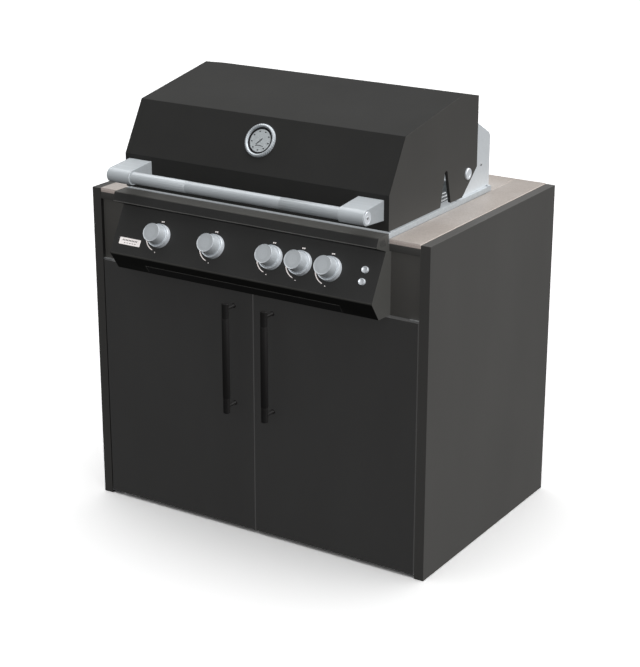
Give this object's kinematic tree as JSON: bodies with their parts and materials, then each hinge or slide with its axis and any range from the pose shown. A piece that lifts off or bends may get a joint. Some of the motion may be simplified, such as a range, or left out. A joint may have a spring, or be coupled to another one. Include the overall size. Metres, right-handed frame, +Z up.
{
  "type": "gas barbecue grill",
  "caption": "Built-in gas barbecue with a folded hinged lid, sloping knob panel and pull-out grease tray in a cabinet with two doors.",
  "frame": {"origin": "on the floor, below the middle of the overall footprint (cabinet plus lid handle)", "axes": "+Z up, -Y towards the cook at the control panel, +X to the cook's right"},
  "size_m": [1.056, 0.8, 1.205],
  "materials": {
    "cabinet_board": "matt anthracite laminate",
    "door_board": "matt near-black laminate",
    "worktop_stone": "honed beige-grey slab",
    "black_bar": "satin black powder coat",
    "zinc_fitting": "zinc plated",
    "catch_plastic": "moulded",
    "firebox_steel": "pressed stainless sheet",
    "rim_steel": "brushed stainless",
    "grate_steel": "heat-toned rod",
    "burner_case": "heat-toned sheet",
    "copper_tube": "drawn tube",
    "valve_brass": "turned",
    "white_ceramic": "unglazed",
    "tray_enamel": "satin enamel",
    "panel_paint": "satin black powder coat",
    "cap_paint": "satin grey powder coat",
    "badge_plate": "blank matt plate",
    "bezel_steel": "turned and brushed",
    "knob_metal": "turned and bead blasted",
    "lid_paint": "satin black powder coat",
    "lid_side_paint": "satin dark grey powder coat",
    "handle_metal": "satin cast bracket",
    "tube_steel": "brushed and knurled tube",
    "dial_face": "printed dial",
    "needle_black": "matt black",
    "clear_glass": "clear",
    "switch_plastic": "moulded"
  },
  "bodies": {
    "cabinet": {"side_panel_left": "cabinet_board", "side_panel_right": "cabinet_board", "back_panel": "cabinet_board", "floor_panel": "cabinet_board", "cross_rails": "cabinet_board", "front_trims": "cabinet_board", "filler_panels": "door_board", "worktop_sides": "worktop_stone", "worktop_rear": "worktop_stone", "hinge_plates": "zinc_fitting", "door_catches": "catch_plastic", "firebox": "firebox_steel", "rim_frame": "rim_steel", "support_rails": "zinc_fitting", "rear_housing": "rim_steel", "rear_burner": "burner_case", "feed_tube": "copper_tube", "burner_tubes": "grate_steel", "flame_tamers": "grate_steel", "warming_rack": "grate_steel", "electrodes": "white_ceramic", "manifold_pipe": "zinc_fitting", "gas_valves": "valve_brass", "gas_inlet": "valve_brass", "tray_rails": "zinc_fitting", "control_panel": "panel_paint", "panel_end_caps": "cap_paint", "badge": "badge_plate", "knob_bezels": "bezel_steel", "button_housing": "switch_plastic", "lid_pivots": "bezel_steel"},
    "lid": {"lid_shell": "lid_paint", "lid_sides": "lid_side_paint", "lid_brackets": "handle_metal", "lid_handle_tube": "tube_steel", "thermo_case": "bezel_steel", "thermo_dial": "dial_face", "thermo_glass": "clear_glass", "lid_screws": "zinc_fitting"},
    "needle": {"thermo_needle": "needle_black"},
    "left_door": {"door_left": "door_board", "door_handle_left": "black_bar"},
    "right_door": {"door_right": "door_board", "door_handle_right": "black_bar"},
    "tray": {"grease_tray": "tray_enamel"},
    "grate_l": {"grate_left": "grate_steel"},
    "grate_m": {"grate_middle": "grate_steel"},
    "grate_r": {"grate_right": "grate_steel"},
    "light_button": {"button_1": "bezel_steel"},
    "spark_button": {"button_2": "bezel_steel"},
    "stem_1": {"valve_stem_1": "zinc_fitting"},
    "dial_1": {"knob_1": "knob_metal"},
    "stem_2": {"valve_stem_2": "zinc_fitting"},
    "dial_2": {"knob_2": "knob_metal"},
    "stem_3": {"valve_stem_3": "zinc_fitting"},
    "dial_3": {"knob_3": "knob_metal"},
    "stem_4": {"valve_stem_4": "zinc_fitting"},
    "dial_4": {"knob_4": "knob_metal"},
    "stem_5": {"valve_stem_5": "zinc_fitting"},
    "dial_5": {"knob_5": "knob_metal"}
  },
  "joints": [
    {"name": "lid_hinge", "type": "hinge", "parent": "cabinet", "child": "lid", "pos_m": [0, 0.107, 0.987], "axis": [-1, 0, 0], "range_deg": [0, 85]},
    {"name": "thermometer_needle", "type": "hinge", "parent": "lid", "child": "needle", "pos_m": [0, -0.25928, 1.09709], "axis": [0, 0.867, -0.4982], "range_deg": [0, 270]},
    {"name": "left_door_hinge", "type": "hinge", "parent": "cabinet", "child": "left_door", "pos_m": [-0.482, -0.292, 0.358], "axis": [0, 0, -1], "range_deg": [0, 110]},
    {"name": "right_door_hinge", "type": "hinge", "parent": "cabinet", "child": "right_door", "pos_m": [0.482, -0.292, 0.358], "axis": [0, 0, 1], "range_deg": [0, 110]},
    {"name": "tray_slide", "type": "slide", "parent": "cabinet", "child": "tray", "axis": [0, -1, 0], "range_m": [0, 0.4]},
    {"name": "grate_left_lift", "type": "slide", "parent": "cabinet", "child": "grate_l", "axis": [0, 0, 1], "range_m": [0, 0.06]},
    {"name": "grate_middle_lift", "type": "slide", "parent": "cabinet", "child": "grate_m", "axis": [0, 0, 1], "range_m": [0, 0.06]},
    {"name": "grate_right_lift", "type": "slide", "parent": "cabinet", "child": "grate_r", "axis": [0, 0, 1], "range_m": [0, 0.06]},
    {"name": "knob_1_push", "type": "slide", "parent": "cabinet", "child": "stem_1", "axis": [0, 0.8738, -0.4863], "range_m": [0, 0.005], "stiffness_N_per_m": 1000, "springref_m": -0.005},
    {"name": "knob_1_turn", "type": "hinge", "parent": "stem_1", "child": "dial_1", "pos_m": [-0.2644, -0.37349, 0.83491], "axis": [0, -0.8738, 0.4863], "range_deg": [0, 180]},
    {"name": "knob_2_push", "type": "slide", "parent": "cabinet", "child": "stem_2", "axis": [0, 0.8738, -0.4863], "range_m": [0, 0.005], "stiffness_N_per_m": 1000, "springref_m": -0.005},
    {"name": "knob_2_turn", "type": "hinge", "parent": "stem_2", "child": "dial_2", "pos_m": [-0.0895, -0.37349, 0.83491], "axis": [0, -0.8738, 0.4863], "range_deg": [0, 180]},
    {"name": "knob_3_push", "type": "slide", "parent": "cabinet", "child": "stem_3", "axis": [0, 0.8738, -0.4863], "range_m": [0, 0.005], "stiffness_N_per_m": 1000, "springref_m": -0.005},
    {"name": "knob_3_turn", "type": "hinge", "parent": "stem_3", "child": "dial_3", "pos_m": [0.0917, -0.37349, 0.83491], "axis": [0, -0.8738, 0.4863], "range_deg": [0, 180]},
    {"name": "knob_4_push", "type": "slide", "parent": "cabinet", "child": "stem_4", "axis": [0, 0.8738, -0.4863], "range_m": [0, 0.005], "stiffness_N_per_m": 1000, "springref_m": -0.005},
    {"name": "knob_4_turn", "type": "hinge", "parent": "stem_4", "child": "dial_4", "pos_m": [0.1807, -0.37349, 0.83491], "axis": [0, -0.8738, 0.4863], "range_deg": [0, 180]},
    {"name": "knob_5_push", "type": "slide", "parent": "cabinet", "child": "stem_5", "axis": [0, 0.8738, -0.4863], "range_m": [0, 0.005], "stiffness_N_per_m": 1000, "springref_m": -0.005},
    {"name": "knob_5_turn", "type": "hinge", "parent": "stem_5", "child": "dial_5", "pos_m": [0.2693, -0.37349, 0.83491], "axis": [0, -0.8738, 0.4863], "range_deg": [0, 180]},
    {"name": "light_button_push", "type": "slide", "parent": "cabinet", "child": "light_button", "axis": [0, 0.8738, -0.4863], "range_m": [0, 0.003], "stiffness_N_per_m": 900, "springref_m": -0.002},
    {"name": "spark_button_push", "type": "slide", "parent": "cabinet", "child": "spark_button", "axis": [0, 0.8738, -0.4863], "range_m": [0, 0.003], "stiffness_N_per_m": 900, "springref_m": -0.002}
  ]
}
